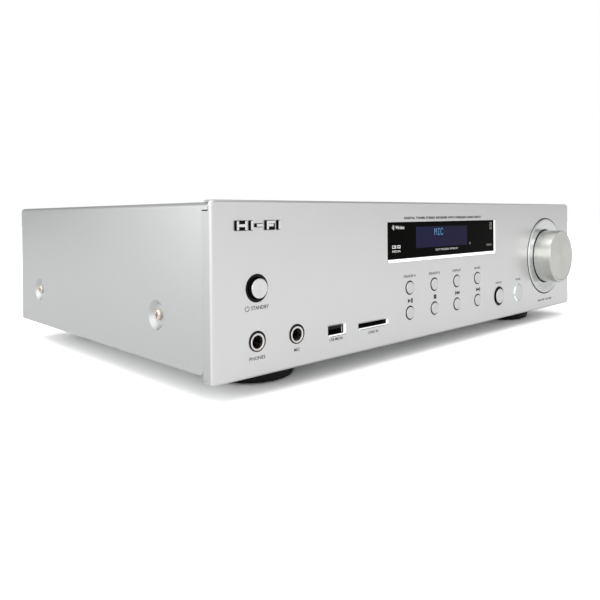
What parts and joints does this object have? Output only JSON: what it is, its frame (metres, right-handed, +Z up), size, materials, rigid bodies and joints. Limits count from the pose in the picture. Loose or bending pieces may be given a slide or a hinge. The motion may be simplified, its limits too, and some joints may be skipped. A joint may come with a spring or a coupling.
{
  "type": "stereo receiver",
  "caption": "Low, wide hi-fi receiver: thick silver front plate with a display window, push buttons, sockets and a large volume knob, in a folded steel case on round feet.",
  "frame": {"origin": "on the floor, under the centre of the whole bounding box, knob and rear sockets included", "axes": "+X to the right seen from the front, which faces -Y; +Z up"},
  "size_m": [0.38, 0.2698, 0.0966],
  "materials": {
    "panel_aluminium": "bead blasted and clear anodised, satin",
    "cover_paint": "silver paint on folded steel sheet",
    "bare_steel": "galvanised sheet",
    "rear_paint": "black textured paint",
    "screw_steel": "passivated, slightly yellow",
    "black_plastic": "moulded, fine texture",
    "gloss_black": "polished",
    "smoked_acrylic": "smoked, polished",
    "display_glass": "dot-matrix glass",
    "badge_chrome": "polished plating",
    "knob_aluminium": "turned, warm champagne tint",
    "ring_aluminium": "turned and anodised",
    "cap_aluminium": "spun face, polished side",
    "cap_silver": "silver lacquer",
    "lit_ring": "frosted, lit from behind",
    "plated_metal": "nickel plating",
    "board": "green solder mask",
    "extruded_aluminium": "extruded, as made",
    "transformer_iron": "varnished laminations",
    "capacitor_sleeve": "shrunk sleeve",
    "cable_grey": "flat cable",
    "foot_plastic": "moulded",
    "foot_rubber": "felted rubber",
    "lever_red": "moulded",
    "lever_black": "moulded"
  },
  "bodies": {
    "receiver": {"front_panel": "panel_aluminium", "front_frame": "black_plastic", "top_cover": "cover_paint", "bottom_chassis": "bare_steel", "rear_panel": "rear_paint", "cover_screws": "screw_steel", "feet": "foot_plastic", "foot_pads": "foot_rubber", "foot_screws": "screw_steel", "display_window": "smoked_acrylic", "display_module": "display_glass", "badge": "badge_chrome", "volume_ring": "ring_aluminium", "volume_encoder": "bare_steel", "standby_ring": "gloss_black", "input_ring": "gloss_black", "pair_light_ring": "lit_ring", "phones_jack": "gloss_black", "mic_jack": "gloss_black", "jack_sleeves": "plated_metal", "usb_port": "plated_metal", "card_slot": "black_plastic", "front_board": "board", "jack_board": "board", "tact_switches": "black_plastic", "main_board": "board", "board_screws": "screw_steel", "heat_sink": "extruded_aluminium", "power_transistors": "black_plastic", "filter_capacitors": "capacitor_sleeve", "transformer": "transformer_iron", "tuner_can": "bare_steel", "ribbon_cable": "cable_grey", "speaker_terminals": "black_plastic", "rca_inputs": "gloss_black", "antenna_socket": "plated_metal", "power_switch": "black_plastic", "mains_inlet": "black_plastic"},
    "volume_control": {"volume_knob": "knob_aluminium", "volume_shaft": "bare_steel"},
    "standby_cap": {"standby_button": "cap_aluminium"},
    "speaker_a_key": {"speaker_a_button": "cap_silver"},
    "speaker_b_key": {"speaker_b_button": "cap_silver"},
    "display_key": {"display_button": "cap_silver"},
    "band_key": {"band_button": "cap_silver"},
    "play_key": {"play_button": "cap_silver"},
    "stop_key": {"stop_button": "cap_silver"},
    "previous_key": {"previous_button": "cap_silver"},
    "next_key": {"next_button": "cap_silver"},
    "input_key": {"input_button": "cap_silver"},
    "pair_key": {"pair_button": "cap_silver"},
    "clip_a1": {"speaker_lever_a1": "lever_red"},
    "clip_a2": {"speaker_lever_a2": "lever_black"},
    "clip_a3": {"speaker_lever_a3": "lever_red"},
    "clip_a4": {"speaker_lever_a4": "lever_black"},
    "clip_b1": {"speaker_lever_b1": "lever_red"},
    "clip_b2": {"speaker_lever_b2": "lever_black"},
    "clip_b3": {"speaker_lever_b3": "lever_red"},
    "clip_b4": {"speaker_lever_b4": "lever_black"},
    "mains_rocker": {"power_rocker": "gloss_black"}
  },
  "joints": [
    {"name": "volume_turn", "type": "hinge", "parent": "receiver", "child": "volume_control", "pos_m": [0.1453, -0.1211, 0.0537], "axis": [0, -1, 0], "continuous": true},
    {"name": "standby_cap_press", "type": "slide", "parent": "receiver", "child": "standby_cap", "axis": [0, 1, 0], "range_m": [0, 0.0012], "stiffness_N_per_m": 700},
    {"name": "speaker_a_key_press", "type": "slide", "parent": "receiver", "child": "speaker_a_key", "axis": [0, 1, 0], "range_m": [0, 0.001], "stiffness_N_per_m": 500},
    {"name": "speaker_b_key_press", "type": "slide", "parent": "receiver", "child": "speaker_b_key", "axis": [0, 1, 0], "range_m": [0, 0.001], "stiffness_N_per_m": 500},
    {"name": "display_key_press", "type": "slide", "parent": "receiver", "child": "display_key", "axis": [0, 1, 0], "range_m": [0, 0.001], "stiffness_N_per_m": 500},
    {"name": "band_key_press", "type": "slide", "parent": "receiver", "child": "band_key", "axis": [0, 1, 0], "range_m": [0, 0.001], "stiffness_N_per_m": 500},
    {"name": "play_key_press", "type": "slide", "parent": "receiver", "child": "play_key", "axis": [0, 1, 0], "range_m": [0, 0.001], "stiffness_N_per_m": 500},
    {"name": "stop_key_press", "type": "slide", "parent": "receiver", "child": "stop_key", "axis": [0, 1, 0], "range_m": [0, 0.001], "stiffness_N_per_m": 500},
    {"name": "previous_key_press", "type": "slide", "parent": "receiver", "child": "previous_key", "axis": [0, 1, 0], "range_m": [0, 0.001], "stiffness_N_per_m": 500},
    {"name": "next_key_press", "type": "slide", "parent": "receiver", "child": "next_key", "axis": [0, 1, 0], "range_m": [0, 0.001], "stiffness_N_per_m": 500},
    {"name": "input_key_press", "type": "slide", "parent": "receiver", "child": "input_key", "axis": [0, 1, 0], "range_m": [0, 0.001], "stiffness_N_per_m": 500},
    {"name": "pair_key_press", "type": "slide", "parent": "receiver", "child": "pair_key", "axis": [0, 1, 0], "range_m": [0, 0.001], "stiffness_N_per_m": 500},
    {"name": "clip_a1_press", "type": "hinge", "parent": "receiver", "child": "clip_a1", "pos_m": [0.065, 0.1268, 0.068], "axis": [1, 0, 0], "range_deg": [0, 18], "stiffness_Nm_per_rad": 0.05},
    {"name": "clip_a2_press", "type": "hinge", "parent": "receiver", "child": "clip_a2", "pos_m": [0.087, 0.1268, 0.068], "axis": [1, 0, 0], "range_deg": [0, 18], "stiffness_Nm_per_rad": 0.05},
    {"name": "clip_a3_press", "type": "hinge", "parent": "receiver", "child": "clip_a3", "pos_m": [0.109, 0.1268, 0.068], "axis": [1, 0, 0], "range_deg": [0, 18], "stiffness_Nm_per_rad": 0.05},
    {"name": "clip_a4_press", "type": "hinge", "parent": "receiver", "child": "clip_a4", "pos_m": [0.131, 0.1268, 0.068], "axis": [1, 0, 0], "range_deg": [0, 18], "stiffness_Nm_per_rad": 0.05},
    {"name": "clip_b1_press", "type": "hinge", "parent": "receiver", "child": "clip_b1", "pos_m": [0.065, 0.1268, 0.04], "axis": [1, 0, 0], "range_deg": [0, 18], "stiffness_Nm_per_rad": 0.05},
    {"name": "clip_b2_press", "type": "hinge", "parent": "receiver", "child": "clip_b2", "pos_m": [0.087, 0.1268, 0.04], "axis": [1, 0, 0], "range_deg": [0, 18], "stiffness_Nm_per_rad": 0.05},
    {"name": "clip_b3_press", "type": "hinge", "parent": "receiver", "child": "clip_b3", "pos_m": [0.109, 0.1268, 0.04], "axis": [1, 0, 0], "range_deg": [0, 18], "stiffness_Nm_per_rad": 0.05},
    {"name": "clip_b4_press", "type": "hinge", "parent": "receiver", "child": "clip_b4", "pos_m": [0.131, 0.1268, 0.04], "axis": [1, 0, 0], "range_deg": [0, 18], "stiffness_Nm_per_rad": 0.05},
    {"name": "power_rock", "type": "hinge", "parent": "receiver", "child": "mains_rocker", "pos_m": [-0.158, 0.1238, 0.0691], "axis": [1, 0, 0], "range_deg": [0, 20]}
  ]
}
